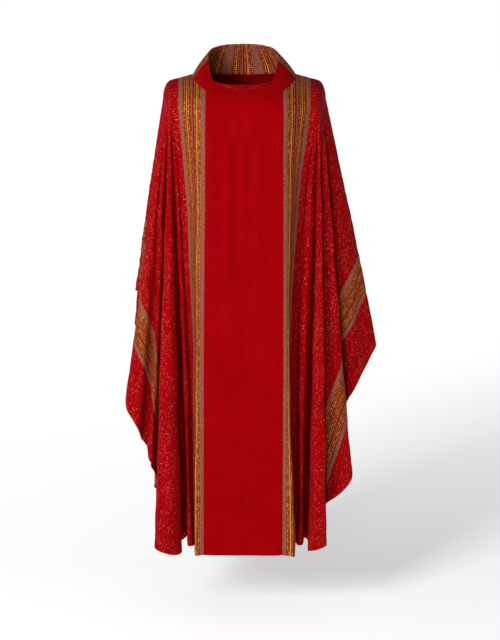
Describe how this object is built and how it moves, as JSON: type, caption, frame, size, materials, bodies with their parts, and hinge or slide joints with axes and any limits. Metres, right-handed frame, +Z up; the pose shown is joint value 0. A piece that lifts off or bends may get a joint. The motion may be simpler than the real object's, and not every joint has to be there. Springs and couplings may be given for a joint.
{
  "type": "chasuble",
  "caption": "Full red vestment worn over the shoulders, hanging in deep side folds, with ornamental bands and a wide funnel collar.",
  "frame": {"origin": "midway between the shoulders, level with the high point of the shoulder line, in the plane of the shoulder tips", "axes": "+Z up, the front faces -Y, +X to the right as seen from the front"},
  "size_m": [0.7107, 0.3607, 1.4376],
  "materials": {
    "plain_wool": "matt plain-weave wool",
    "flecked_cloth": "wool weave with metallic flecks",
    "band_cloth": "woven metallic band",
    "stiffener": "plain woven interfacing"
  },
  "bodies": {
    "root": {"front_centre_panel": "plain_wool", "back_centre_panel": "plain_wool", "front_left_orphrey": "band_cloth", "front_left_side_panel": "flecked_cloth", "front_left_sleeve_band": "band_cloth", "front_left_outer_panel": "flecked_cloth", "front_right_orphrey": "band_cloth", "front_right_side_panel": "flecked_cloth", "front_right_sleeve_band": "band_cloth", "front_right_outer_panel": "flecked_cloth", "back_left_orphrey": "band_cloth", "back_left_side_panel": "flecked_cloth", "back_left_sleeve_band": "band_cloth", "back_left_outer_panel": "flecked_cloth", "back_right_orphrey": "band_cloth", "back_right_side_panel": "flecked_cloth", "back_right_sleeve_band": "band_cloth", "back_right_outer_panel": "flecked_cloth", "collar_front": "plain_wool", "collar_band": "band_cloth", "collar_facing": "flecked_cloth", "collar_interfacing": "stiffener"}
  },
  "joints": []
}
